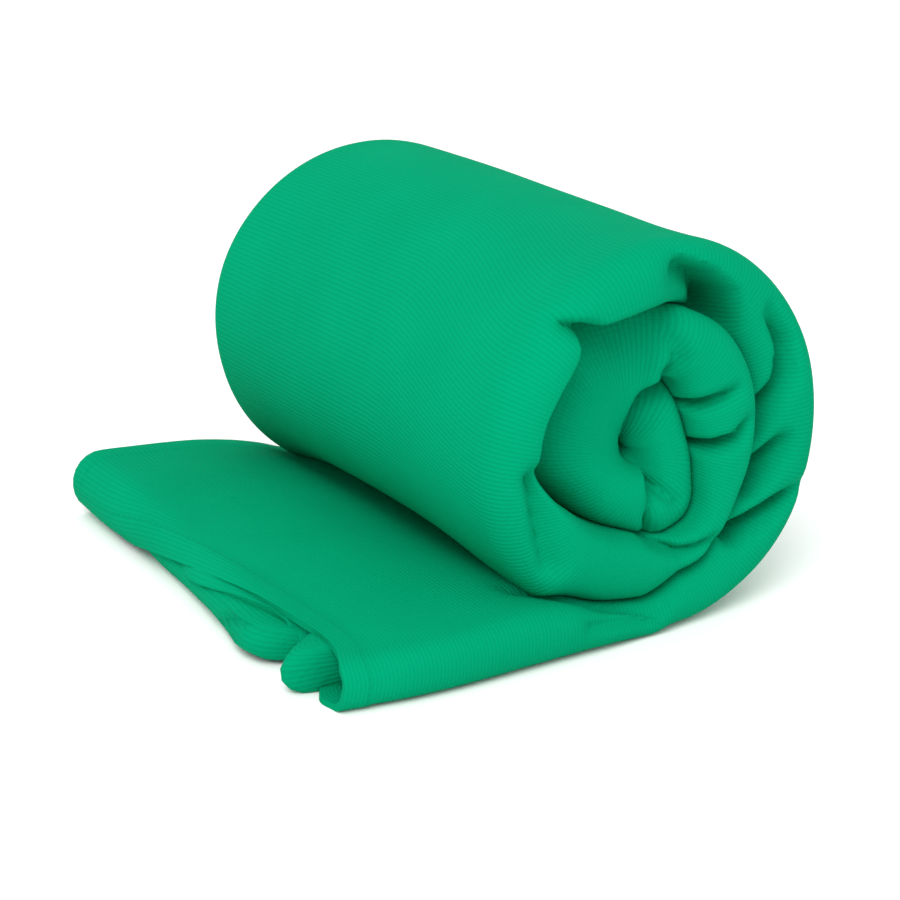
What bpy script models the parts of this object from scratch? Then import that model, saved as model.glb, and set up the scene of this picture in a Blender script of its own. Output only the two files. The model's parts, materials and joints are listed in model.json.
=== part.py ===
"""Quick dry towel: a microfibre towel folded to a flat band and rolled up, with a free tail.

One cloth, 1.30 m by 0.75 m, is folded in half across its length and twice along it. That gives
a band of eight plies, 0.65 m long. The band is rolled up from its folded end, and its last
stretch, the tail, lies flat on the table with the hemmed ends showing.

The roll's axis runs along Y, with its near end at -Y. The tail points along -X. The origin is
the point on the table under the middle of the roll.
"""

import math

import bmesh
import bpy
from mathutils import Vector

# Rolled part
ROLL_RADIUS = 0.058
ROLL_HEIGHT = 0.1148
ROLL_X = -0.0024
ROLL_NEAR_Y = -0.085
ROLL_FAR_Y = 0.087
CORE_X = -0.003
CORE_Z = 0.062
CORE_HOLE = 0.003
CORE_END_RADIUS = 0.010
TURN_STEPS = 32

# Folded band: the thickness of its eight plies in the roll and at the tail's end
BAND = 0.019
TAIL_END_THICKNESS = 0.014
COVER_SHARE = 0.25
FOLD_DEPTH = 0.006

# Tail: the stretch that lies flat, in a fixed base and three hinged lengths
BASE_START_X = 0.010
FIRST_HINGE_X = -0.048
TAIL_LENGTH = 0.021
TAIL_COUNT = 3
TAIL_NEAR_Y = -0.091
TAIL_FAR_Y = 0.094
HEM_WIDTH = 0.009
PACKET_SETBACK = 0.003

# Clearance between neighbouring solids
GAP = 0.0003

GREEN = (0.0, 0.392, 0.181)
DEEP_GREEN = (0.0, 0.300, 0.140)
HEM_GREEN = (0.0, 0.440, 0.210)


def clear_scene():
    for old in list(bpy.data.objects):
        bpy.data.objects.remove(old, do_unlink=True)


def cloth_material(name, colour):
    material = bpy.data.materials.new(name)
    material.use_nodes = True
    shader = material.node_tree.nodes["Principled BSDF"]
    shader.inputs["Base Color"].default_value = (*colour, 1.0)
    shader.inputs["Roughness"].default_value = 0.95
    shader.inputs["Metallic"].default_value = 0.0
    return material


# The spiral. Its turn count is 0 where the band leaves the table under the roll, on the right,
# 1 where it has gone once round and lies on the tail, and 2 and 3 one turn further in.

def turn_direction(turn):
    angle = 2 * math.pi * turn
    return Vector((math.sin(angle), 0, -math.cos(angle)))


def outline_radius(fraction):
    """Distance from the core to the roll's outline, which is a circle cut flat underneath."""
    ray = turn_direction(fraction)
    start = Vector((CORE_X, 0, CORE_Z)) - Vector((ROLL_X, 0, ROLL_HEIGHT - ROLL_RADIUS))
    along = ray.dot(start)
    radius = -along + math.sqrt(along * along + ROLL_RADIUS ** 2 - start.length_squared)
    floor = 0.0 if fraction < 0.5 else BAND + GAP
    if ray.z < 0:
        radius = min(radius, (CORE_Z - floor) / -ray.z)
    return radius


def spiral_radius(turn):
    """Outer radius of the band, whose outline's shape fades out towards the core."""
    plain = CORE_Z - (BAND + GAP) * turn
    if turn <= 1:
        return outline_radius(turn)
    fraction = turn % 1.0
    bulge = outline_radius(fraction) / (CORE_Z - (BAND + GAP) * fraction) - 1
    return plain * (1 + bulge * max(0.0, 2 - turn))


def turn_station(turn):
    """The outer and inner point of the band at one place on the spiral."""
    core = Vector((CORE_X, 0, CORE_Z))
    inner_radius = max(spiral_radius(turn + 1) + GAP, CORE_HOLE)
    ray = turn_direction(turn)
    return core + ray * spiral_radius(turn), core + ray * inner_radius


def tail_thickness(x):
    """The band is full under the roll and thins out towards the tail's end."""
    end_x = FIRST_HINGE_X - TAIL_COUNT * TAIL_LENGTH
    share = min(1.0, max(0.0, (FIRST_HINGE_X - x) / (FIRST_HINGE_X - end_x)))
    return BAND + (TAIL_END_THICKNESS - BAND) * share


def tail_station(x):
    return Vector((x, 0, 0)), Vector((x, 0, tail_thickness(x)))


# Cross-sections of the band as (y, depth) points. Depth 0 is the outside of the band, which is
# the underside of the tail, and depth 1 is its inside.

def cover_section(near_y, far_y):
    """The outer plies, which wrap round the others at the near edge and are open at the far."""
    share = COVER_SHARE
    wall_y = near_y + share * BAND
    return [
        (far_y, 0.0), (near_y + FOLD_DEPTH, 0.0), (near_y + FOLD_DEPTH / 4, 0.12),
        (near_y, 0.35), (near_y, 0.65), (near_y + FOLD_DEPTH / 4, 0.88),
        (near_y + FOLD_DEPTH, 1.0), (far_y, 1.0), (far_y, 1 - share),
        (wall_y + FOLD_DEPTH / 3, 1 - share), (wall_y, 0.6), (wall_y, 0.4),
        (wall_y + FOLD_DEPTH / 3, share), (far_y, share),
    ]


def packet_section(near_y, far_y):
    """The inner plies, a packet that lies in the cover and stops a little inside its far edge."""
    low = COVER_SHARE + GAP / TAIL_END_THICKNESS
    wall_y = near_y + COVER_SHARE * BAND + GAP
    end_y = far_y - PACKET_SETBACK
    corner = FOLD_DEPTH / 3
    return [
        (end_y, low), (wall_y + corner, low), (wall_y, 0.4), (wall_y, 0.6),
        (wall_y + corner, 1 - low), (end_y, 1 - low),
    ]


def whole_section(near_y, far_y):
    """All eight plies as one solid, for the tight turn at the core."""
    corner = FOLD_DEPTH / 2
    return [
        (far_y - corner, 0.0), (near_y + corner, 0.0), (near_y, 0.25), (near_y, 0.75),
        (near_y + corner, 1.0), (far_y - corner, 1.0), (far_y, 0.75), (far_y, 0.25),
    ]


def section_points(section, station, origin):
    outer, inner = station
    return [outer.lerp(inner, depth) + Vector((0, y, 0)) - origin for y, depth in section]


def sweep(name, section, stations, colour, origin=Vector((0, 0, 0))):
    """One solid: the section as a face, extruded from each station to the next."""
    shape = bmesh.new()
    corners = [shape.verts.new(point) for point in section_points(section, stations[0], origin)]
    start_face = shape.faces.new(corners)
    face = start_face
    for station in stations[1:]:
        grown = bmesh.ops.extrude_face_region(shape, geom=[face])
        if face is not start_face:
            bmesh.ops.delete(shape, geom=[face], context="FACES_ONLY")
        face = next(item for item in grown["geom"] if isinstance(item, bmesh.types.BMFace))
        points = section_points(section, station, origin)
        for corner, point in zip(face.verts, points):
            corner.co = point
    bmesh.ops.recalc_face_normals(shape, faces=shape.faces)
    mesh = bpy.data.meshes.new(name)
    shape.to_mesh(mesh)
    shape.free()
    mesh.shade_smooth()
    mesh.set_sharp_from_angle(angle=math.radians(35))
    mesh.materials.append(cloth_material(name, colour))
    thing = bpy.data.objects.new(name, mesh)
    thing.location = origin
    bpy.context.collection.objects.link(thing)
    return thing


def turn_stations(first, last):
    """Stations round part of the spiral, set in at both ends by a gap half way to the core.

    All turns are faceted at the same angles, so that their flats lie side by side.
    """
    margin = GAP / (math.pi * ROLL_RADIUS)
    low = first + margin
    high = last - margin
    steps = range(math.floor(low * TURN_STEPS) + 1, math.ceil(high * TURN_STEPS))
    turns = [low] + [step / TURN_STEPS for step in steps] + [high]
    return [turn_station(turn) for turn in turns]


def straight_stations(start_x, end_x):
    return [tail_station(start_x), tail_station(end_x)]


def make_rolled_turns():
    """Three turns. The first starts where the base stops, at the edge of the flat underside."""
    edge = math.atan2(BASE_START_X + GAP - CORE_X, CORE_Z) / (2 * math.pi)
    spans = {"outer_turn": (edge, 1.0), "inner_turn": (1.0, 2.0)}
    for turn_name, (first, last) in spans.items():
        stations = turn_stations(first, last)
        cover = cover_section(ROLL_NEAR_Y, ROLL_FAR_Y)
        packet = packet_section(ROLL_NEAR_Y, ROLL_FAR_Y)
        sweep(turn_name + "_cover", cover, stations, GREEN)
        sweep(turn_name + "_inner_plies", packet, stations, DEEP_GREEN)
    core_end = (CORE_Z - CORE_END_RADIUS) / (BAND + GAP)
    whole = whole_section(ROLL_NEAR_Y, ROLL_FAR_Y)
    sweep("core_turn", whole, turn_stations(2.0, core_end), GREEN)


def make_base():
    """The flat stretch that the roll rests on. Its right end is cut along a ray to the core."""
    slant = (BASE_START_X - CORE_X) * BAND / CORE_Z
    root = Vector((BASE_START_X, 0, 0)), Vector((BASE_START_X - slant, 0, BAND))
    stations = [root, tail_station(FIRST_HINGE_X + GAP / 2)]
    sweep("tail_base_cover", cover_section(TAIL_NEAR_Y, TAIL_FAR_Y), stations, GREEN)
    sweep("tail_base_inner_plies", packet_section(TAIL_NEAR_Y, TAIL_FAR_Y), stations, DEEP_GREEN)


def make_tail():
    """Three hinged lengths. Each one turns about a line on its top face, at its root."""
    cover = cover_section(TAIL_NEAR_Y, TAIL_FAR_Y)
    packet = packet_section(TAIL_NEAR_Y, TAIL_FAR_Y)
    for number in range(TAIL_COUNT):
        root_x = FIRST_HINGE_X - number * TAIL_LENGTH
        hinge = Vector((root_x, 0, tail_thickness(root_x)))
        start_x = root_x - GAP / 2
        end_x = root_x - TAIL_LENGTH + GAP / 2
        is_last = number == TAIL_COUNT - 1
        if is_last:
            end_x += HEM_WIDTH
        stations = straight_stations(start_x, end_x)
        label = "tail_%d_" % (number + 1)
        sweep(label + "cover", cover, stations, GREEN, hinge)
        sweep(label + "inner_plies", packet, stations, DEEP_GREEN, hinge)
        if is_last:
            hem_start = end_x - GAP
            hem_end = hem_start - HEM_WIDTH
            hems = straight_stations(hem_start, hem_end)
            short_hems = straight_stations(hem_start, hem_end + PACKET_SETBACK)
            sweep("cover_end_hem", cover, hems, HEM_GREEN, hinge)
            sweep("inner_plies_end_hem", packet, short_hems, HEM_GREEN, hinge)


clear_scene()
make_rolled_turns()
make_base()
make_tail()
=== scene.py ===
import json
import math
import bmesh
import bpy
import numpy as np
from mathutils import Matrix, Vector


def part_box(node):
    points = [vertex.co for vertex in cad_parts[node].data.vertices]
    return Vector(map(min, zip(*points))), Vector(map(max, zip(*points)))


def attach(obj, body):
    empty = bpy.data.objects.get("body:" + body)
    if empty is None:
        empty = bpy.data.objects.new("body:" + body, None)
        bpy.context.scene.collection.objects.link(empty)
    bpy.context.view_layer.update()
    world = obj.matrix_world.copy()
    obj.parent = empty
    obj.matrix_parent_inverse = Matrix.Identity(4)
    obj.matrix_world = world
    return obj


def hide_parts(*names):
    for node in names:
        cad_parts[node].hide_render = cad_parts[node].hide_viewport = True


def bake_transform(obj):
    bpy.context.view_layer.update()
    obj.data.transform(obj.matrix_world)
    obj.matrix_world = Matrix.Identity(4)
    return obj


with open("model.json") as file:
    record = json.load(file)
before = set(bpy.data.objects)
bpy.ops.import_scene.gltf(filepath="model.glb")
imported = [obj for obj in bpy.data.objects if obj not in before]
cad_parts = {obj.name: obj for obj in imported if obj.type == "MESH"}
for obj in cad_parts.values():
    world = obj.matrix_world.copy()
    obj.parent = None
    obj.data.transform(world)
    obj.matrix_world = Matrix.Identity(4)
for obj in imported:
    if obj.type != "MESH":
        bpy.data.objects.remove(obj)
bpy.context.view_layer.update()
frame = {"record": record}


# Camera, floor and lights: the towel lies on plain white paper in a white studio. The camera
# stands to the left of the spiral end and a little above it, with a long lens.

def look_from(azimuth, elevation, distance, target):
    """Place and turn of a camera that looks at the target from two angles in degrees."""
    round_by = math.radians(azimuth)
    up_by = math.radians(elevation)
    back = Vector((math.sin(round_by) * math.cos(up_by), -math.cos(round_by) * math.cos(up_by),
                   math.sin(up_by)))
    return Vector(target) + back * distance, back.to_track_quat("Z", "Y")


camera_data = bpy.data.cameras.new("camera")
camera_data.lens = 88.0
camera_data.sensor_width = 36.0
camera_data.clip_end = 20.0
camera = bpy.data.objects.new("camera", camera_data)
camera.rotation_mode = "QUATERNION"
place, turn = look_from(-30.9, 18.0, 0.7054, (-0.0084, 0.0227, 0.0243))
camera.location = place
camera.rotation_quaternion = turn
bpy.context.collection.objects.link(camera)
bpy.context.scene.camera = camera
bpy.context.scene.view_settings.view_transform = "Standard"


def linear(hex_colour):
    """An sRGB hex colour as linear red, green, blue and alpha."""
    parts = [int(hex_colour[i:i + 2], 16) / 255 for i in (1, 3, 5)]
    channels = [c / 12.92 if c <= 0.04045 else ((c + 0.055) / 1.055) ** 2.4 for c in parts]
    return (*channels, 1.0)


FLOOR_HALF = 3.0
floor_shape = bmesh.new()
bmesh.ops.create_grid(floor_shape, x_segments=1, y_segments=1, size=FLOOR_HALF)
floor_mesh = bpy.data.meshes.new("table_top")
floor_shape.to_mesh(floor_mesh)
floor_shape.free()
floor = bpy.data.objects.new("table_top", floor_mesh)
bpy.context.collection.objects.link(floor)
paper = bpy.data.materials.new("matt_white_paper")
paper.use_nodes = True
paper_shader = paper.node_tree.nodes["Principled BSDF"]
paper_shader.inputs["Base Color"].default_value = linear("#FCFCFC")
paper_shader.inputs["Roughness"].default_value = 0.9
floor_mesh.materials.append(paper)


def soft_light(name, place, aim, size, power):
    """A square area light, turned to its aim."""
    data = bpy.data.lights.new(name, "AREA")
    data.size = size
    data.energy = power
    thing = bpy.data.objects.new(name, data)
    thing.location = place
    thing.rotation_mode = "QUATERNION"
    thing.rotation_quaternion = (Vector(place) - Vector(aim)).to_track_quat("Z", "Y")
    bpy.context.collection.objects.link(thing)


LIGHTS_AIM = (0, 0, 0.05)
soft_light("key_light", (-0.9, -0.9, 1.3), LIGHTS_AIM, size=1.0, power=20.0)
soft_light("top_light", (0.2, 0.3, 1.5), LIGHTS_AIM, size=1.6, power=1.5)
soft_light("fill_light", (1.3, -0.8, 0.6), LIGHTS_AIM, size=1.2, power=1.5)
world = bpy.data.worlds.new("white_studio")
bpy.context.scene.world = world
world.use_nodes = True
sky = world.node_tree.nodes["Background"]
sky.inputs["Color"].default_value = (1.0, 1.0, 1.0, 1.0)
sky.inputs["Strength"].default_value = 1.0


# The towel: one cloth, 1.30 m by 0.75 m, folded in half across its length, then twice along
# it, and rolled up from the folded end. It starts as a flat grid, and every point goes to its
# place in the folded and rolled band. Its ends are hemmed and its plies lie free on each other.

CLOTH_LENGTH = 1.30
CLOTH_WIDTH = 0.75
CLOTH_THICKNESS = 0.0012
HEM_THICKNESS = 0.0021
HEM_WIDTH = 0.009
BAND_LENGTH = CLOTH_LENGTH / 2
QUARTER = CLOTH_WIDTH / 4

# The tail's end and the roll's circle come from the frame, in metres. The core of the spiral lies
# off the circle's middle, with about three turns of the band round it.
roll_low, roll_high = (Vector(corner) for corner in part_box("outer_turn_cover"))
TAIL_END_X = Vector(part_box("cover_end_hem")[0]).x
ROLL_RADIUS = (roll_high.x - roll_low.x) / 2
ROLL_X = (roll_high.x + roll_low.x) / 2
ROLL_Z = roll_high.z - ROLL_RADIUS
CORE_X = -0.003
CORE_Z = 0.060
FLAT_LENGTH = CORE_X - TAIL_END_X
LAST_TURN = 3.05
TURN_PITCH = 0.0173
# Towards the core no turn lies closer to the next than this
TIGHTEST_PITCH = 0.0012

# The spiral end is squashed to one side, so its core lies lower there and nearer the tail. Its
# own shape fades into the even middle of the roll between two places along it, and so does the
# tail's far edge.
NEAR_CORE_X = -0.0095
NEAR_CORE_Z = 0.053
NEAR_END_SPAN = (-0.080, -0.015)
FAR_EDGE_SPAN = (0.015, 0.085)
# The spiral end's own shape begins with the second turn, over this part of a turn
NEAR_SHAPE_BEGINS = 0.05
# The tail's height is taken no further from the roll than this where the roll comes down on it
MEETING_X = -0.07


def smooth(value, low, high):
    """0 below low, 1 above high and an even S between them."""
    share = np.clip((value - low) / (high - low), 0.0, 1.0)
    return share * share * (3 - 2 * share)


def curve(value, points):
    """A smooth curve through points, each a pair of place and value."""
    places, values = np.array(points, dtype=float).T
    slopes = np.gradient(values, places)
    part = np.clip(np.searchsorted(places, value) - 1, 0, len(places) - 2)
    length = places[part + 1] - places[part]
    share = np.clip((value - places[part]) / length, 0.0, 1.0)
    between = ((1 + 2 * share) * (1 - share) ** 2 * values[part]
               + share * share * (3 - 2 * share) * values[part + 1])
    return between + length * (share * (1 - share) ** 2 * slopes[part]
                               - share * share * (1 - share) * slopes[part + 1])


# Shape of the band in millimetres by the turn of the spiral, where 0 is under the core and 1 is
# once round, and less than 0 is the tail. First comes the outer face's radius at the spiral end.
NEAR_TURNS = [
    (1.00, 39.6), (1.04, 39.2), (1.086, 40.8), (1.134, 39.4), (1.172, 38.6), (1.216, 38.9),
    (1.268, 39.6), (1.31, 40.8), (1.35, 41.5), (1.39, 42.3), (1.43, 42.0), (1.47, 41.8),
    (1.51, 41.6), (1.545, 42.3), (1.568, 44.0), (1.588, 46.5), (1.612, 41.8), (1.65, 39.6),
    (1.687, 39.1), (1.716, 38.1), (1.75, 35.9), (1.782, 32.2), (1.822, 27.6), (1.869, 25.0),
    (1.92, 23.6), (1.97, 23.2), (2.01, 24.6), (2.05, 27.2), (2.08, 28.2), (2.105, 29.0),
    (2.13, 28.0), (2.168, 24.0), (2.21, 21.1), (2.252, 19.2), (2.314, 18.6), (2.374, 20.4),
    (2.41, 22.4), (2.44, 20.5), (2.471, 16.0), (2.50, 9.8), (2.55, 4.6), (2.62, 2.6),
    (2.80, 2.0), (3.00, 1.7), (3.20, 1.4), (3.50, 1.0), (4.00, 0.6), (4.30, 0.4),
]
# How far out along the roll the near folds stand
NEAR_EDGE = [
    (-0.5, -90.5), (-0.35, -90.5), (-0.28, -93.8), (-0.12, -93.3), (-0.06, -92.0), (0.0, -90.2),
    (0.05, -88.3), (0.12, -86.0), (0.20, -85.0), (0.30, -84.5),
    (0.41, -85.0), (0.46, -87.5), (0.51, -91.0), (0.60, -92.0), (0.70, -90.5), (0.80, -89.5),
    (0.90, -89.5), (1.00, -88.5), (1.06, -87.5), (1.15, -86.5), (1.30, -87.0), (1.40, -87.5),
    (1.452, -86.0), (1.482, -80.0), (1.52, -77.0), (1.60, -75.5), (1.70, -76.5), (1.85, -81.0),
    (1.95, -83.5), (2.05, -83.0), (2.15, -81.0), (2.25, -79.5), (2.35, -78.0), (2.44, -73.0),
    (2.52, -71.0), (2.70, -70.0), (3.20, -68.0),
]
# Which way the near folds lean, from -1 for inwards to 1 for outwards
FOLD_LEAN = [
    (-0.5, 0.0), (0.0, 0.0), (0.15, 0.2), (0.40, 0.1), (0.49, -0.4), (0.60, -0.7),
    (0.85, -0.6), (1.00, -0.2), (1.10, 0.0), (1.42, 0.1), (1.50, -0.3), (1.60, -0.5),
    (1.85, -0.4), (2.00, 0.0), (2.12, 0.4), (2.40, 0.4), (2.60, 0.0), (3.20, 0.0),
]
# How deep the round of the near folds is, on their outward side and on their inward side
FOLD_OUTSIDE = [
    (-0.5, 6.5), (-0.2, 7.0), (0.0, 9.0), (0.12, 11.0), (0.45, 12.0), (0.60, 13.0), (0.90, 12.0),
    (1.00, 9.0), (1.20, 7.0), (1.40, 8.0), (1.50, 8.0), (1.56, 18.0), (1.66, 26.0), (1.84, 22.0),
    (1.94, 9.0), (2.20, 5.0), (3.20, 6.0),
]
FOLD_INSIDE = [
    (-0.5, 6.5), (-0.2, 7.0), (0.0, 9.0), (0.3, 9.0), (0.5, 12.0), (0.6, 13.0), (0.9, 10.0),
    (1.3, 9.0), (3.2, 9.0),
]
# Where the far folds and the free hems end, along the roll
FAR_EDGE = [
    (-0.5, 94.0), (0.0, 93.0), (0.15, 88.0), (0.5, 86.5), (0.56, 87.5), (0.63, 89.0),
    (0.7, 90.5), (0.8, 89.0), (1.0, 86.0), (1.5, 84.0), (2.0, 82.0), (3.2, 78.0),
]
# How the roll's outline differs from a circle, in hundredths of the radius by the part of a turn:
# the spiral end is lower on top and fuller low on the right, the roll is undercut over the tail,
# and its top sags. The last two fade by the place along the roll, in millimetres.
NEAR_OUTLINE = [
    (0.0, 0.0), (0.06, 0.5), (0.10, 2.0), (0.13, 3.5), (0.17, 3.5), (0.21, 1.0), (0.25, -0.8),
    (0.32, -2.2), (0.40, -2.4), (0.46, -2.8), (0.52, -2.4), (0.60, -1.0), (0.70, 0.0), (1.0, 0.0),
]
UNDERCUT = [
    (0.0, 0.0), (0.70, 0.0), (0.76, 0.0), (0.78, -0.2), (0.84, -2.5), (0.89, -8.0),
    (0.925, -11.0), (0.96, -9.0), (1.0, -9.0),
]
UNDERCUT_ALONG = [
    (-95, 0.0), (-75, 0.05), (-55, 0.35), (-35, 0.8), (-15, 1.0), (30, 1.0), (55, 0.85),
    (75, 0.45), (90, 0.0), (100, 0.0),
]
TOP_SAG = [
    (0.0, 0.0), (0.22, 0.0), (0.27, -0.5), (0.38, -3.2), (0.48, -4.4), (0.56, -3.6),
    (0.66, -1.0), (0.72, 0.0), (1.0, 0.0),
]
TOP_SAG_ALONG = [
    (-95, 0.0), (-88, 0.0), (-70, 0.40), (-50, 0.80), (-25, 0.85), (5, 0.55), (40, 0.1),
    (65, 0.0), (100, 0.0),
]
# Height of the tail's top face along x, in millimetres: by its near edge, in its middle and by
# its far edge
NEAR_TAIL = [(-111, 13.0), (-95, 14.5), (-70, 15.5), (-45, 16.5), (-37, 15.5), (-24, 11.5),
             (-12, 10.0), (0, 9.8)]
MIDDLE_TAIL = [(-111, 15.0), (-98, 16.6), (-80, 17.6), (-60, 17.0), (-45, 15.0), (-35, 12.4),
               (-28, 11.0), (-15, 11.2), (0, 12.0)]
FAR_TAIL = [(-111, 17.5), (-104, 19.2), (-97, 20.0), (-82, 19.4), (-64, 17.6), (-50, 15.0),
            (-42, 12.8), (-35, 10.4), (-25, 10.0), (-12, 11.4), (0, 12.0)]


def near_share(y):
    """1 at the near end of the roll and 0 from past a third of the way in."""
    return 1 - smooth(y, *NEAR_END_SPAN)


def tail_top(x, y):
    """Height of the tail's top face."""
    near = near_share(y)
    far = smooth(y, *FAR_EDGE_SPAN)
    middle = 1 - near - far
    heights = (near * curve(x * 1000, NEAR_TAIL) + middle * curve(x * 1000, MIDDLE_TAIL)
               + far * curve(x * 1000, FAR_TAIL))
    return heights / 1000


def core_place(y):
    """Place of the spiral's core, as x and z."""
    near = near_share(y)
    return CORE_X + near * (NEAR_CORE_X - CORE_X), CORE_Z + near * (NEAR_CORE_Z - CORE_Z)


def outline(fraction, y):
    """Distance from the core to the roll's outline, at a part of a turn from straight down."""
    core_x, core_z = core_place(y)
    angle = 2 * math.pi * fraction
    ray_x = np.sin(angle)
    ray_z = -np.cos(angle)
    start_x = core_x - ROLL_X
    start_z = core_z - ROLL_Z
    along = ray_x * start_x + ray_z * start_z
    square = along * along + ROLL_RADIUS ** 2 - start_x ** 2 - start_z ** 2
    radius = -along + np.sqrt(np.maximum(square, 0))
    change = (near_share(y) * curve(fraction, NEAR_OUTLINE)
              + curve(y * 1000, UNDERCUT_ALONG) * curve(fraction, UNDERCUT)
              + curve(y * 1000, TOP_SAG_ALONG) * curve(fraction, TOP_SAG))
    return radius * (1 + change / 100)


def spiral(turn, y):
    """Outer radius of the band at a place on the spiral."""
    near = near_share(y)
    core_x, core_z = core_place(y)
    fraction = turn % 1.0
    down = np.maximum(np.cos(2 * math.pi * fraction), 1e-6)
    # First turn: the roll's outline, cut by the table on the right and by the tail on the left,
    # where a few passes find the place that it meets the tail
    radius = outline(fraction, y)
    floor = np.where(fraction < 0.5, core_z / down, 1.0)
    foot_x = core_x + radius * np.sin(2 * math.pi * fraction)
    for _ in range(3):
        height = tail_top(np.clip(foot_x, MEETING_X, core_x), y)
        foot = np.where(fraction > 0.5, (core_z - height) / down, 1.0)
        foot_x = core_x + np.minimum(radius, foot) * np.sin(2 * math.pi * fraction)
    first = np.minimum(radius, np.minimum(floor, foot))
    # Further turns: an even spiral inside, and the near end's own shape
    gap = tail_top(core_x, y)
    even = core_z - gap - TURN_PITCH * (turn - 1)
    bulge = first / (core_z - gap * fraction) - 1
    inside = even * (1 + bulge * np.clip(2 - turn, 0, 1))
    inside = np.maximum(inside, TIGHTEST_PITCH * (5 - turn))
    near_shape = curve(turn, NEAR_TURNS) / 1000
    start = np.clip((turn - 1) / NEAR_SHAPE_BEGINS, 0, 1)
    near_shape = near_shape * start + (core_z - gap) * (1 - start)
    later = (1 - near) * inside + near * near_shape
    return np.where(turn <= 1, first, later)


def fold_arc(share, power):
    """A rounded fold, as sine and cosine from -1 to 1 of its half. A lower power is squarer."""
    angle = np.clip(share, -1, 1) * math.pi / 2
    return np.sign(angle) * np.abs(np.sin(angle)) ** power, np.cos(angle) ** power


# The band has 8 plies. The outermost lies 7 sixteenths of the thickness from the band's middle,
# and 3 sixteenths from the middle of its far fold. The arcs are half the cloth that goes round a
# fold of that size, and a smaller fold takes less in proportion. The long hems end a little past
# the start of the far folds' round or short of it.
NEAR_OUTERMOST = 7 / 16
FAR_OUTERMOST = 3 / 16
OUTER_FOLD_ARC = 0.017
INNER_FOLD_ARC = 0.015
FAR_FOLD_ARC = 0.008
NEAR_ROUNDNESS = 0.85
FAR_ROUNDNESS = 0.9
FAR_FOLD = 0.006
OUTER_HEM_PAST = 0.003
INNER_HEM_SHORT = 0.002
# Over the last length of the tail each inner near fold stands back from the one around it
OPEN_END_LENGTH = 0.060
SECOND_FOLD_BACK = 0.0105
THIRD_FOLD_BACK = 0.0320
FOURTH_FOLD_BACK = 0.0360


def cross_section(across, layer, turn, along):
    """Place of a ply in the band: its y, and how far through the band from outside to inside.

    The layer is 0 in the half of the cloth that lies outside and 1 in the half inside it. The
    place is across the flat cloth and along the band.
    """
    near_y = curve(turn, NEAR_EDGE) / 1000
    width = curve(turn, FAR_EDGE) / 1000 - near_y
    lean = curve(turn, FOLD_LEAN)
    open_end = 1 - smooth(along, 0.0, OPEN_END_LENGTH)
    outer = (7 - 2 * layer) / 16
    inner = (1 + 2 * layer) / 16
    far = (3 - 2 * layer) / 16
    outer_back = open_end * SECOND_FOLD_BACK * layer
    inner_back = open_end * (THIRD_FOLD_BACK * layer + FOURTH_FOLD_BACK * (1 - layer))
    far_end = width - FAR_FOLD
    inward = np.zeros_like(across)
    through = np.zeros_like(across)
    depth = np.where(across < QUARTER, curve(turn, FOLD_INSIDE), curve(turn, FOLD_OUTSIDE)) / 1000
    inner_depth = curve(turn, FOLD_INSIDE) / 1000
    outer_arc = OUTER_FOLD_ARC * outer / NEAR_OUTERMOST
    inner_arc = INNER_FOLD_ARC * inner / NEAR_OUTERMOST
    far_arc = FAR_FOLD_ARC * far / FAR_OUTERMOST
    # Run 1, from the free long hem to the outer near fold, on top of the stack
    share = across / (QUARTER - outer_arc)
    run = share < 1
    inward = np.where(run, far_end + OUTER_HEM_PAST
                      + (depth + outer_back - far_end - OUTER_HEM_PAST) * share, inward)
    through = np.where(run, 0.5 + outer, through)
    # Outer near fold
    run = np.abs(across - QUARTER) <= outer_arc
    sine, cosine = fold_arc((across - QUARTER) / outer_arc, NEAR_ROUNDNESS)
    inward = np.where(run, outer_back + depth * (1 - outer / NEAR_OUTERMOST * cosine), inward)
    leaned = np.where(sine > 0, lean + (1 - lean) * sine, lean + (1 + lean) * sine)
    through = np.where(run, 0.5 - outer * leaned, through)
    # Run 2, underneath, to the far fold
    start = QUARTER + outer_arc
    stop = 2 * QUARTER - far_arc
    share = (across - start) / (stop - start)
    run = (share > 0) & (share < 1)
    inward = np.where(run, depth + outer_back + (far_end - depth - outer_back) * share, inward)
    through = np.where(run, 0.5 - outer, through)
    # Far fold
    run = np.abs(across - 2 * QUARTER) <= far_arc
    sine, cosine = fold_arc((across - 2 * QUARTER) / far_arc, FAR_ROUNDNESS)
    inward = np.where(run, far_end + FAR_FOLD * far / FAR_OUTERMOST * cosine, inward)
    through = np.where(run, 0.25 + far * sine, through)
    # Run 3, back to the inner near fold
    start = 2 * QUARTER + far_arc
    stop = 3 * QUARTER - inner_arc
    share = (across - start) / (stop - start)
    run = (share > 0) & (share < 1)
    inward = np.where(run, far_end + (inner_depth + inner_back - far_end) * share, inward)
    through = np.where(run, 0.5 - inner, through)
    # Inner near fold
    run = np.abs(across - 3 * QUARTER) <= inner_arc
    sine, cosine = fold_arc((across - 3 * QUARTER) / inner_arc, NEAR_ROUNDNESS)
    inward = np.where(run, inner_back + inner_depth * (1 - inner / NEAR_OUTERMOST * cosine), inward)
    through = np.where(run, 0.5 + inner * sine, through)
    # Run 4, to the second free hem
    start = 3 * QUARTER + inner_arc
    share = (across - start) / (4 * QUARTER - start)
    run = share > 0
    inward = np.where(run, inner_depth + inner_back
                      + (far_end - INNER_HEM_SHORT - inner_depth - inner_back) * share, inward)
    through = np.where(run, 0.5 + inner, through)
    return near_y + inward, through


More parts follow.
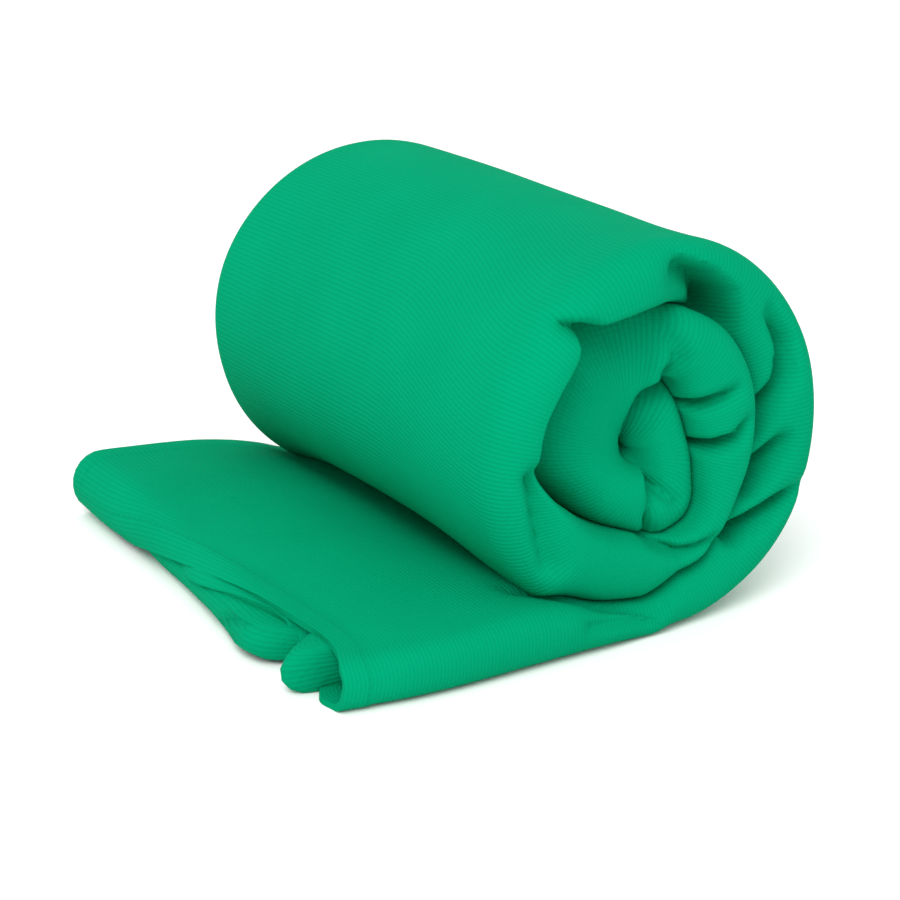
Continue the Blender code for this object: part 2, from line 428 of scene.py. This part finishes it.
# Length of the band round the spiral, measured midway through its thickness at one place along
# the roll, to find the turn at each place along the cloth
GRID_TURNS = LAST_TURN + 0.2
GRID_STEPS = 700
MEASURED_AT_Y = -0.035
turn_grid = np.linspace(0, GRID_TURNS, GRID_STEPS)
middle_y = np.full_like(turn_grid, MEASURED_AT_Y)
middle = (spiral(turn_grid, middle_y) + spiral(turn_grid + 1, middle_y)) / 2
steps = np.diff(turn_grid) * math.pi * (middle[1:] + middle[:-1])
reach = np.concatenate([[0], np.cumsum(steps)])
reach *= (BAND_LENGTH - FLAT_LENGTH) / np.interp(LAST_TURN, turn_grid, reach)

# How the plies end at the tail's free end, in millimetres by the place across it: the x where
# each starts to turn down, and how far round it turns, in degrees. The top ply hangs over the far
# half of the end, the second and third make the two soft lobes by the near corner, and the rest
# end short of them.
TOP_PLY_ENDS = [
    (-95, -108.0), (-89, -107.5), (-83, -105.0), (-45, -104.0), (-20, -103.2), (0, -102.2),
    (20, -101.6), (37, -101.5), (60, -101.6), (80, -101.0), (94, -100.2),
]
TOP_PLY_TURNS = [(-95, 8), (-45, 14), (-20, 44), (5, 72), (37, 112), (55, 142), (94, 158)]
SECOND_PLY_ENDS = [
    (-84.7, -88), (-78.7, -89), (-76.2, -92), (-74.4, -102.5), (-73.0, -108.5), (-71.2, -110.3),
    (-68.2, -108.3), (-64, -102.0), (-59.5, -98.5), (-56, -98.0), (-50, -103), (-42, -105.7),
    (-20, -105.6), (0, -104.0), (12, -101.0), (30, -97), (94, -94),
]
SECOND_PLY_TURNS = [
    (-86, 60), (-79, 80), (-76, 150), (-62, 150), (-56, 70), (-48, 14), (-38, 14), (-20, 52),
    (0, 82), (30, 90), (94, 90),
]
THIRD_PLY_ENDS = [
    (-59, -95), (-55.5, -101), (-52, -107.5), (-46, -110.5), (-30, -108.8), (-10, -105.4),
    (10, -103.2), (30, -102.0), (50, -99.5), (70, -97), (94, -94),
]
THIRD_PLY_TURNS = [(-61, 160), (10, 165), (38, 155), (60, 110), (94, 90)]
INNER_PLIES_END = [(-95, -99), (-55, -99), (-40, -102), (0, -101), (35, -97), (94, -94)]
BOTTOM_PLY_ENDS = [
    (-95, -109), (-88, -109), (-79, -109.5), (-75, -107), (-70, -102), (-64, -100), (0, -100),
    (40, -97), (94, -95),
]
# The last END_REACH of the band is stretched or shortened to these ends, from the lower half of
# the stack to the upper. The third ply's lobe is lifted a little off the table, more towards the
# near edge, and no ply turns down tighter than the least radius.
END_REACH = 0.045
LOWER_TO_UPPER = (0.35, 0.65)
LOBE_LIFT = 0.0012
LOBE_LIFT_SPAN = (-5, 30)
PLY_CLEARANCE = CLOTH_THICKNESS * 0.8
LEAST_TURN_RADIUS = 0.0008


def hang_tail_end(along, y, through, z, across, layer):
    """Ends each ply at its own place, hanging over the plies under it where it is longer."""
    at = y * 1000
    outer_fold = across < 2 * QUARTER
    is_top = outer_fold & (layer < 0.5)
    is_second = outer_fold & (layer >= 0.5)
    is_third = ~outer_fold & (layer >= 0.5)
    above = smooth(through, *LOWER_TO_UPPER)
    plies = curve(at, INNER_PLIES_END)
    under = np.where(is_top, curve(at, BOTTOM_PLY_ENDS), plies)
    over = np.where(is_top, curve(at, TOP_PLY_ENDS), plies)
    over = np.where(is_second, curve(at, SECOND_PLY_ENDS), over)
    over = np.where(is_third, curve(at, THIRD_PLY_ENDS), over)
    turn_round = np.where(is_top, curve(at, TOP_PLY_TURNS), 0)
    turn_round = np.where(is_second, curve(at, SECOND_PLY_TURNS), turn_round)
    turn_round = np.where(is_third, curve(at, THIRD_PLY_TURNS), turn_round) * above
    turn_start = under + (over - under) * above
    begin = TAIL_END_X + END_REACH
    straight = begin - turn_start / 1000
    lift = np.where(is_third, LOBE_LIFT * smooth(-at, *LOBE_LIFT_SPAN), 0.0) + PLY_CLEARANCE
    radius = np.maximum((z - lift) / 2, LEAST_TURN_RADIUS)
    length = straight + radius * np.radians(turn_round)
    gone = np.clip(END_REACH - along, 0, None) * length / END_REACH
    angle = np.maximum(gone - straight, 0) / radius
    x = begin - np.minimum(gone, straight) - radius * np.sin(angle)
    return np.where(along < END_REACH, x, TAIL_END_X + along), z - radius * (1 - np.cos(angle))


# Creases pressed into the spiral end: a line of points (x, z), its width on its left and on its
# right as it runs, its depth at its start and at its end, all in millimetres, and the turns of
# the spiral that it is in. Each fades out at the ends of its turns and along the roll.
FIRST_TURN = (0.03, 0.56)
SECOND_TURN = (1.02, 1.52)
CREASE_FADE_TURNS = 0.02
CREASE_FADE_SPAN = (-0.078, -0.050)
NEAR_CREASES = [
    ([(32, 88), (37.8, 78), (38, 68), (29.5, 53)], (3.0, 1.8), (3, 21), FIRST_TURN),
    ([(40, 47.5), (35, 42), (29, 35.5)], (1.7, 3.4), (8, 24), FIRST_TURN),
    ([(47, 34), (36, 28.5), (23, 22)], (1.8, 2.8), (2, 21), FIRST_TURN),
    ([(1.2, 105.5), (10.7, 101.0), (18.0, 94.2), (21.0, 85.2)], (2.0, 7.8), (9, 24),
     (0.38, 0.58)),
    ([(-43.5, 95.8), (-33.0, 93.2)], (2.2, 3.0), (2, 11), (0.5, 0.75)),
    ([(2.0, 62.5), (10.3, 64.5), (19, 67.8)], (1.9, 1.9), (20, 3), SECOND_TURN),
    ([(5.0, 51.0), (13.7, 51.3), (20.7, 53.1), (24.4, 57.9)], (1.9, 1.9), (21, 3), SECOND_TURN),
    ([(-3.5, 86), (-0.3, 83), (0.8, 79), (-0.5, 75)], (2.6, 2.6), (1, 8), (1.3, 1.7)),
    ([(-1.2, 72.3), (-6.5, 69), (-9.1, 62.8), (-11.0, 51.5), (-8.6, 47.7), (-5.5, 42)],
     (5.0, 2.0), (7, 7), (2.0, 3.3)),
    ([(-5.5, 42.5), (-2.8, 40.8), (3.5, 36)], (1.6, 1.6), (7, 2), (1.9, 3.3)),
    ([(-6.2, 38), (-6.8, 33.4), (-5.2, 29)], (1.6, 1.6), (3, 5), (1.9, 3.3)),
    ([(-8.0, 28.0), (-3.9, 25.1), (2.2, 22.7), (7.8, 22.9), (13.5, 24.4)], (1.8, 1.8), (8, 3),
     (0.9, 1.4)),
    ([(-50.0, 54), (-48.0, 45.7), (-45.5, 35.8), (-43, 28)], (4.0, 2.5), (6, 3.5), (0.6, 0.98)),
    ([(-32, 8.8), (-19, 7.0), (-11, 5.6), (-4, 4.6)], (1.8, 1.8), (2, 3), (-0.25, 0.0)),
]
# One more lies in the tail's top beside the roll, a line of points (x, y) pressed down, and one in
# the third ply's lobe, a line of points (y, z) pressed in. Each has one width. The first is full
# from a height of TAIL_CREASE_FULL up, and the second fades out over the x of LOBE_X.
TAIL_CREASE = ([(-47, -73), (-40.5, -79), (-36, -83), (-29, -85.5), (-20, -86.5), (-11, -88),
                (-3, -90)], 1.8, (2.5, 5.0))
TAIL_CREASE_FULL = 12
LOBE_CREASE = ([(-26, 6.0), (-35, 8.0), (-43, 7.0)], 1.4, (2.0, 4.5))
LOBE_X = (-108, -102)
# How softly the width on a crease's left passes into the one on its right
SIDE_BLEND = 0.3


def beside_line(px, pz, line):
    """Distance of points from a line, how far along it they are, and how much on its left."""
    best = np.full(px.shape, 1e9)
    along = np.zeros(px.shape)
    left = np.zeros(px.shape)
    count = len(line) - 1
    for number, ((x0, z0), (x1, z1)) in enumerate(zip(line, line[1:])):
        dx = x1 - x0
        dz = z1 - z0
        share = np.clip(((px - x0) * dx + (pz - z0) * dz) / (dx * dx + dz * dz), 0, 1)
        distance = np.hypot(px - x0 - share * dx, pz - z0 - share * dz)
        nearer = distance < best
        along = np.where(nearer, (number + share) / count, along)
        turned = (dx * (pz - z0) - dz * (px - x0)) / (math.hypot(dx, dz) * (distance + SIDE_BLEND))
        left = np.where(nearer, smooth(turned, -1.0, 1.0), left)
        best = np.where(nearer, distance, best)
    return best, along, left


def press_creases(points, turn):
    """Moves the points of the cloth inwards where a crease runs over them."""
    x = points[:, 0] * 1000
    y = points[:, 1] * 1000
    z = points[:, 2] * 1000
    push = np.zeros(len(points))
    for line, widths, depths, turns in NEAR_CREASES:
        distance, along, left = beside_line(x, z, line)
        width = widths[0] * left + widths[1] * (1 - left)
        depth = depths[0] + (depths[1] - depths[0]) * along
        begun = smooth(turn, turns[0] - CREASE_FADE_TURNS, turns[0] + CREASE_FADE_TURNS)
        ended = smooth(turn, turns[1] - CREASE_FADE_TURNS, turns[1] + CREASE_FADE_TURNS)
        inside = begun * (1 - ended)
        push += depth * inside * np.exp(-(distance / width) ** 2)
    fade = 1 - smooth(points[:, 1], *CREASE_FADE_SPAN)
    points[:, 1] += push / 1000 * fade
    line, width, depths = TAIL_CREASE
    distance, along, _ = beside_line(x, y, line)
    on_tail = 1 - smooth(turn, 0.0, 2 * CREASE_FADE_TURNS)
    depth = (depths[0] + (depths[1] - depths[0]) * along) * on_tail
    press = depth * np.exp(-(distance / width) ** 2) * np.clip(z / TAIL_CREASE_FULL, 0, 1)
    points[:, 2] -= press / 1000
    line, width, depths = LOBE_CREASE
    distance, along, _ = beside_line(y, z, line)
    depth = (depths[0] + (depths[1] - depths[0]) * along) * (1 - smooth(x, *LOBE_X))
    points[:, 0] += depth * np.exp(-(distance / width) ** 2) / 1000
    return points


# Half the length of the crosswise fold at the core
CROSS_FOLD_HALF = 0.004
# The room that a ply keeps from the band's faces, the place of the first ply in the band's
# thickness and the span of all 8, and the least thickness that they are squeezed to
PLY_MARGIN = CLOTH_THICKNESS * 0.55
FIRST_PLY = 1 / 16
PLY_SPAN = 14 / 16
LEAST_BAND = 0.001
# The length of tail over which the turn runs down by 1, for the tables that go below 0
TAIL_PER_TURN = 0.3
# The core sinks and leans a little at the spiral end, within this radius
CORE_SINK_X = 0.0022
CORE_SINK_Z = 0.0035
CORE_SINK_RADIUS = 0.018
# The tail keeps one height from here to its end
END_TOP_INSET = 0.008


def place_cloth(length_at, across):
    """Puts points of the flat cloth, by length and across, in the folded and rolled band."""
    bend = np.clip((length_at - BAND_LENGTH) / CROSS_FOLD_HALF, -1, 1)
    layer = (1 + np.sin(bend * math.pi / 2)) / 2
    along = np.where(length_at < BAND_LENGTH, length_at, CLOTH_LENGTH - length_at)
    # Twice, because the turn needs the core's place and the core's place needs y
    core_x = np.full_like(along, CORE_X)
    for _ in range(2):
        rolled_length = along - (core_x - TAIL_END_X)
        turn = np.where(rolled_length > 0, np.interp(rolled_length, reach, turn_grid),
                        rolled_length / TAIL_PER_TURN)
        y, through = cross_section(across, layer, turn, along)
        core_x, core_z = core_place(y)
    # Rolled part
    rolled = np.maximum(turn, 0)
    outer_radius = spiral(rolled, y) - PLY_MARGIN
    inner_radius = np.minimum(spiral(rolled + 1, y) + PLY_MARGIN, outer_radius - LEAST_BAND)
    radius = outer_radius + (inner_radius - outer_radius) * (through - FIRST_PLY) / PLY_SPAN
    angle = 2 * math.pi * rolled
    sunk = near_share(y) * (1 - smooth(radius, 0.0, CORE_SINK_RADIUS))
    roll_x = core_x + radius * np.sin(angle) + CORE_SINK_X * sunk
    roll_z = core_z - radius * np.cos(angle) - CORE_SINK_Z * sunk
    # Flat tail
    flat_x = np.minimum(TAIL_END_X + along, core_x)
    top = tail_top(np.maximum(flat_x, TAIL_END_X + END_TOP_INSET), y)
    flat_z = PLY_MARGIN + (top - 2 * PLY_MARGIN) * (through - FIRST_PLY) / PLY_SPAN
    end_x, end_z = hang_tail_end(along, y, through, flat_z, across, layer)
    flat = turn <= 0
    x = np.where(flat, end_x, roll_x)
    z = np.where(flat, end_z, roll_z)
    return press_creases(np.stack([x, y, z], axis=-1), turn)


# Past a fine stretch the grid's step grows by this share of the distance from it
STEP_GROWTH = 0.3


def grid_lines(low, high, stretches, step):
    """Places of grid lines: fine within each (middle, half width, fine step), coarse between."""
    places = [low]
    while places[-1] < high:
        fine = step
        for middle, half, small in stretches:
            gap = abs(places[-1] - middle) - half
            fine = min(fine, small + max(0.0, gap) * STEP_GROWTH)
        places.append(places[-1] + fine)
    lines = np.array(places)
    return low + (lines - low) * (high - low) / (lines[-1] - low)


# Grid lines across the cloth, closer by the hems and in the three lengthwise folds
COARSE_STEP = 0.009
HEM_STEP = 0.0030
ACROSS = grid_lines(0.0, CLOTH_WIDTH, [(0.0, HEM_WIDTH, HEM_STEP), (QUARTER, 0.022, 0.0014),
                                       (2 * QUARTER, 0.008, 0.0016),
                                       (3 * QUARTER, 0.006, 0.0020),
                                       (CLOTH_WIDTH, HEM_WIDTH, HEM_STEP)], COARSE_STEP)
# The hem's extra thickness ends over this width, and a corner past this angle is shaded sharp
HEM_EDGE = 0.0015
SHARP_ANGLE = 60


def cloth_piece(name, strips):
    """A length of the folded cloth, from one or more strips of the flat cloth.

    A strip is the list of its grid lines' places along the flat cloth.
    """
    whole = bmesh.new()
    flat_map = whole.loops.layers.uv.new("flat_cloth")
    hem = whole.verts.layers.deform.new()
    for rows in strips:
        first = len(whole.verts)
        bmesh.ops.create_grid(whole, x_segments=len(rows) - 1, y_segments=len(ACROSS) - 1, size=1)
        whole.verts.ensure_lookup_table()
        corners = whole.verts[first:]
        grid_x = np.array([corner.co.x for corner in corners])
        grid_y = np.array([corner.co.y for corner in corners])
        length_at = np.interp((grid_x + 1) / 2, np.linspace(0, 1, len(rows)), rows)
        across_at = np.interp((grid_y + 1) / 2, np.linspace(0, 1, len(ACROSS)), ACROSS)
        places = place_cloth(length_at, across_at)
        from_edge = np.minimum(np.minimum(length_at, CLOTH_LENGTH - length_at),
                               np.minimum(across_at, CLOTH_WIDTH - across_at))
        hemmed = 1 - smooth(from_edge, HEM_WIDTH - HEM_EDGE, HEM_WIDTH)
        flat_place = {}
        for corner, place, along, across, share in zip(corners, places, length_at, across_at,
                                                       hemmed):
            corner.co = place
            corner[hem][0] = share
            flat_place[corner] = (across, along)
        for face in whole.faces:
            for loop in face.loops:
                if loop.vert in flat_place:
                    loop[flat_map].uv = flat_place[loop.vert]
    for face in whole.faces:
        face.smooth = True
    mesh = bpy.data.meshes.new(name)
    whole.to_mesh(mesh)
    whole.free()
    piece = bpy.data.objects.new(name, mesh)
    bpy.context.collection.objects.link(piece)
    piece.vertex_groups.new(name="hem")
    wall = piece.modifiers.new("cloth", "SOLIDIFY")
    wall.thickness = HEM_THICKNESS
    wall.offset = 0.0
    wall.vertex_group = "hem"
    wall.thickness_vertex_group = CLOTH_THICKNESS / HEM_THICKNESS
    depsgraph = bpy.context.evaluated_depsgraph_get()
    final = bpy.data.meshes.new_from_object(piece.evaluated_get(depsgraph))
    piece.modifiers.clear()
    piece.vertex_groups.clear()
    piece.data = final
    final.set_sharp_from_angle(angle=math.radians(SHARP_ANGLE))
    return piece


# The towel's cloth: microfibre warp knit, brushed. It is matt and evenly coloured, with fine ribs
# across the cloth that show most in shade, and a short nap that lightens its edges a little. Its
# hems are turned under and sewn with thread of its own colour.

def add_node(material, kind, settings=None, inputs=None):
    """Adds a node, sets its properties and gives each named input a value or a link.

    An input is named by its number where several have one name.
    """
    tree = material.node_tree
    node = tree.nodes.new(kind)
    for name, value in (settings or {}).items():
        setattr(node, name, value)
    for name, value in (inputs or {}).items():
        if isinstance(value, bpy.types.NodeSocket):
            tree.links.new(value, node.inputs[name])
        else:
            node.inputs[name].default_value = value
    return node


RIB_PITCH = 0.0012
LOOP_PITCH = 0.0009
# A wave texture at scale 1 runs through this many radians in a metre of cloth
WAVE_RADIANS = 20

knit = bpy.data.materials.new("brushed_microfibre_knit")
knit.use_nodes = True
knit_shader = knit.node_tree.nodes["Principled BSDF"]
knit_shader.inputs["Roughness"].default_value = 0.92
knit_shader.inputs["Specular IOR Level"].default_value = 0.015
knit_shader.inputs["Sheen Weight"].default_value = 0.03
knit_shader.inputs["Sheen Roughness"].default_value = 0.45
knit_shader.inputs["Sheen Tint"].default_value = linear("#00D890")
flat_place = add_node(knit, "ShaderNodeUVMap", {"uv_map": "flat_cloth"}).outputs["UV"]
ribs = add_node(knit, "ShaderNodeTexWave",
                {"wave_type": "BANDS", "bands_direction": "Y", "wave_profile": "SIN"},
                {"Vector": flat_place, "Scale": 2 * math.pi / (WAVE_RADIANS * RIB_PITCH),
                 "Distortion": 0.5, "Detail": 1.0, "Detail Scale": 0.6}).outputs["Fac"]
loops = add_node(knit, "ShaderNodeTexWave",
                 {"wave_type": "BANDS", "bands_direction": "X", "wave_profile": "SIN"},
                 {"Vector": flat_place, "Scale": 2 * math.pi / (WAVE_RADIANS * LOOP_PITCH),
                  "Distortion": 0.8, "Detail": 1.0, "Detail Scale": 0.8}).outputs["Fac"]
# A noise texture's scale is its cells to a metre. The nap's tufts are 0.7 mm, coarser than real
# ones so that they show, and the dye's patches are about 40 mm.
in_place = add_node(knit, "ShaderNodeTexCoord").outputs["Object"]
nap = add_node(knit, "ShaderNodeTexNoise", {},
               {"Vector": in_place, "Scale": 1400.0, "Detail": 2.0}).outputs["Fac"]
dye = add_node(knit, "ShaderNodeTexNoise", {},
               {"Vector": in_place, "Scale": 26.0, "Detail": 3.0}).outputs["Fac"]

# Rows of stitches that hold the hems, 7.5 mm in from every edge. A stitch takes 3 mm, and 0.7 of
# that shows.
STITCH_IN = 0.0075
STITCH_PITCH = 0.003
STITCH_SHARE = 0.7
across_along = add_node(knit, "ShaderNodeSeparateXYZ", {}, {"Vector": flat_place})
rows_of_stitches = []
for edge_axis, run_axis, half in (("X", "Y", CLOTH_WIDTH / 2), ("Y", "X", CLOTH_LENGTH / 2)):
    from_row = across_along.outputs[edge_axis]
    for operation, number in (("PINGPONG", half), ("SUBTRACT", STITCH_IN), ("ABSOLUTE", 0.0)):
        from_row = add_node(knit, "ShaderNodeMath", {"operation": operation},
                            {0: from_row, 1: number}).outputs[0]
    in_row = add_node(knit, "ShaderNodeMapRange", {},
                      {"Value": from_row, "From Min": 0.0002, "From Max": 0.0006,
                       "To Min": 1.0, "To Max": 0.0}).outputs["Result"]
    in_stitch = across_along.outputs[run_axis]
    for operation, number in (("DIVIDE", STITCH_PITCH), ("FRACT", 0.0),
                              ("LESS_THAN", STITCH_SHARE)):
        in_stitch = add_node(knit, "ShaderNodeMath", {"operation": operation},
                             {0: in_stitch, 1: number}).outputs[0]
    rows_of_stitches.append(add_node(knit, "ShaderNodeMath", {"operation": "MULTIPLY"},
                                     {0: in_row, 1: in_stitch}).outputs[0])
stitched = add_node(knit, "ShaderNodeMath", {"operation": "MAXIMUM"},
                    {0: rows_of_stitches[0], 1: rows_of_stitches[1]}).outputs[0]

# Relief of the ribs, the loops, the nap and the sunk stitches
threads_up = add_node(knit, "ShaderNodeMath", {"operation": "MULTIPLY_ADD"},
                      {0: loops, 1: 0.35, 2: ribs}).outputs[0]
nap_up = add_node(knit, "ShaderNodeMath", {"operation": "MULTIPLY_ADD"},
                  {0: nap, 1: 0.6, 2: threads_up}).outputs[0]
pulled_in = add_node(knit, "ShaderNodeMath", {"operation": "MULTIPLY_ADD"},
                     {0: stitched, 1: -0.8, 2: nap_up}).outputs[0]
relief = add_node(knit, "ShaderNodeBump", {},
                  {"Height": pulled_in, "Strength": 0.3, "Distance": 0.0003}).outputs["Normal"]
knit.node_tree.links.new(relief, knit_shader.inputs["Normal"])

# Colour: the dye takes a little unevenly, the grooves between ribs are painted darker as shade, and
# the thread is darker
dyed = add_node(knit, "ShaderNodeMix", {"data_type": "RGBA"},
                {"Factor": dye, 6: linear("#00895F"), 7: linear("#009569")}).outputs[2]
# Painted shade: the grooves between ribs are darkened in the colour, down to 0.9
painted_groove_shade = add_node(knit, "ShaderNodeMapRange", {},
                  {"Value": ribs, "From Min": 0.0, "From Max": 0.55,
                   "To Min": 0.90, "To Max": 1.0}).outputs["Result"]
dye_and_groove_shade = add_node(knit, "ShaderNodeMix", {"data_type": "RGBA", "blend_type": "MULTIPLY"},
                  {"Factor": 1.0, 6: dyed, 7: painted_groove_shade}).outputs[2]
sewn = add_node(knit, "ShaderNodeMix", {"data_type": "RGBA"},
                {"Factor": stitched, 6: dye_and_groove_shade, 7: linear("#00875D")}).outputs[2]
knit.node_tree.links.new(sewn, knit_shader.inputs["Base Color"])

# The tail: the free length of the band, which lies flat on the table and ends in the two short
# hems and the lobes of the inner plies. It is one cloth with the roll, cut into three lengths
# between its hinges.

# The tail's grid lines lie about this far apart along its length
TAIL_STEP = 0.0018
# The tail's last length ends this far past the spiral's core
PAST_CORE = 0.001
joints = {joint["name"]: joint for joint in frame["record"]["behaviour"]["joints"]}
hinges = [joints[name]["pos_m"] for name in ("tail_end_bend", "tail_middle_bend",
                                             "tail_root_bend")]
cuts = [0.0] + [x - TAIL_END_X for x in ((hinges[0][0] + hinges[1][0]) / 2,
                                         (hinges[1][0] + hinges[2][0]) / 2,
                                         CORE_X + PAST_CORE)]
tail_pieces = [
    ("towel_tail_end", "tail_2", "tail_3", ("tail_3_cover", "tail_3_inner_plies",
                                            "cover_end_hem", "inner_plies_end_hem")),
    ("towel_tail_middle", "tail_1", "tail_2", ("tail_2_cover", "tail_2_inner_plies")),
    ("towel_tail_root", "roll", "tail_1", ("tail_1_cover", "tail_1_inner_plies",
                                           "tail_base_cover", "tail_base_inner_plies")),
]
for (name, parent, child, nodes), low, high, pivot in zip(tail_pieces, cuts, cuts[1:], hinges):
    rows = np.linspace(low, high, int((high - low) / TAIL_STEP))
    piece = cloth_piece(name, [rows, CLOTH_LENGTH - rows[::-1]])
    piece.data.materials.append(knit)
    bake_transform(piece)
    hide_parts(*nodes)

# The roll: the rest of the same cloth, in two lengths that meet under it, the outer turn and the
# inner turns with the cloth's crosswise fold at the core. Nothing fastens it: it stays rolled by
# friction between its turns. The half of the cloth that lies inside the band shows less, so its
# grid is coarser.

OUTER_TURN_STEP = 0.0017
INNER_TURNS_STEP = 0.0015
HIDDEN_STEP = 0.0060
CROSS_FOLD_REACH = 0.006
CROSS_FOLD_LINES = 9
outer_turn_end = FLAT_LENGTH + float(np.interp(1.0, turn_grid, reach))
outer_turn_start = cuts[-1]
rows = grid_lines(outer_turn_start, outer_turn_end, [], OUTER_TURN_STEP)
outer_turn = cloth_piece("towel_outer_turn", [rows, CLOTH_LENGTH - rows[::-2]])
outside = grid_lines(outer_turn_end, BAND_LENGTH - CROSS_FOLD_REACH, [], INNER_TURNS_STEP)
around = BAND_LENGTH + np.linspace(-CROSS_FOLD_REACH, CROSS_FOLD_REACH, CROSS_FOLD_LINES)
inside = grid_lines(BAND_LENGTH + CROSS_FOLD_REACH, CLOTH_LENGTH - outer_turn_end, [],
                    HIDDEN_STEP)
inner_turns = cloth_piece("towel_inner_turns",
                          [np.concatenate([outside, around[1:], inside[1:]])])
for piece, length, nodes in (
        (outer_turn, 2 * (outer_turn_end - outer_turn_start),
         ("outer_turn_cover", "outer_turn_inner_plies")),
        (inner_turns, CLOTH_LENGTH - 2 * outer_turn_end,
         ("inner_turn_cover", "inner_turn_inner_plies", "core_turn"))):
    piece.data.materials.append(knit)
    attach(piece, "roll")
    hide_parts(*nodes)
